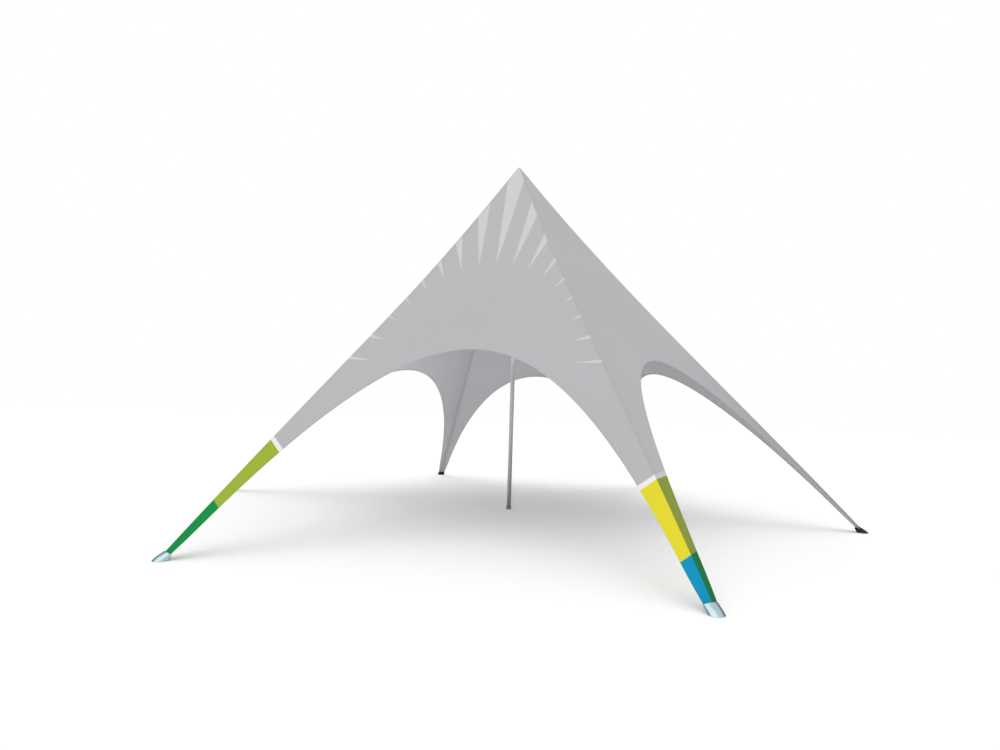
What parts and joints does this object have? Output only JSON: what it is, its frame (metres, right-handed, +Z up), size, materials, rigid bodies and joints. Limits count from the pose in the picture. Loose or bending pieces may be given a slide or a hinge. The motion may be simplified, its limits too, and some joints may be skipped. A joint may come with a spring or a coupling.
{
  "type": "star marquee",
  "caption": "Star-shaped fabric marquee held up by one central pole, with arched openings between its legs and a metal shoe under each leg.",
  "frame": {"origin": "on the ground, at the middle of the underside of the centre pole's foot", "axes": "+Z up along the pole, -Y through the middle of the front arch, +X to the right along the right leg"},
  "size_m": [10.15, 8.8106, 5.43],
  "materials": {
    "canopy_cloth": "matt coated polyester",
    "lime_cloth": "matt coated polyester, printed bands",
    "yellow_cloth": "matt coated polyester, printed bands",
    "webbing": "woven webbing",
    "shoe_metal": "polished",
    "shoe_black": "moulded, matt",
    "pole_metal": "satin anodised",
    "pole_plastic": "moulded, matt"
  },
  "bodies": {
    "root": {"crown": "canopy_cloth", "panel_front": "canopy_cloth", "panel_front_right": "canopy_cloth", "panel_back_right": "canopy_cloth", "panel_back": "canopy_cloth", "panel_back_left": "canopy_cloth", "panel_front_left": "canopy_cloth", "leg_front_left": "lime_cloth", "leg_front_right": "yellow_cloth", "leg_right": "canopy_cloth", "leg_back_right": "canopy_cloth", "leg_back_left": "canopy_cloth", "leg_left": "canopy_cloth", "ridge_webbing_front_left": "webbing", "ridge_webbing_front_right": "webbing", "ridge_webbing_right": "webbing", "ridge_webbing_back_right": "webbing", "ridge_webbing_back_left": "webbing", "ridge_webbing_left": "webbing", "shoe_front_left": "shoe_metal", "shoe_front_right": "shoe_metal", "shoe_right": "shoe_black", "shoe_back_right": "shoe_black", "shoe_back_left": "shoe_black", "shoe_left": "shoe_black", "pole_foot": "pole_plastic", "pole_lower_tube": "pole_metal", "pole_upper_tube": "pole_metal", "pole_coupling": "pole_metal", "pole_head": "pole_plastic"}
  },
  "joints": []
}
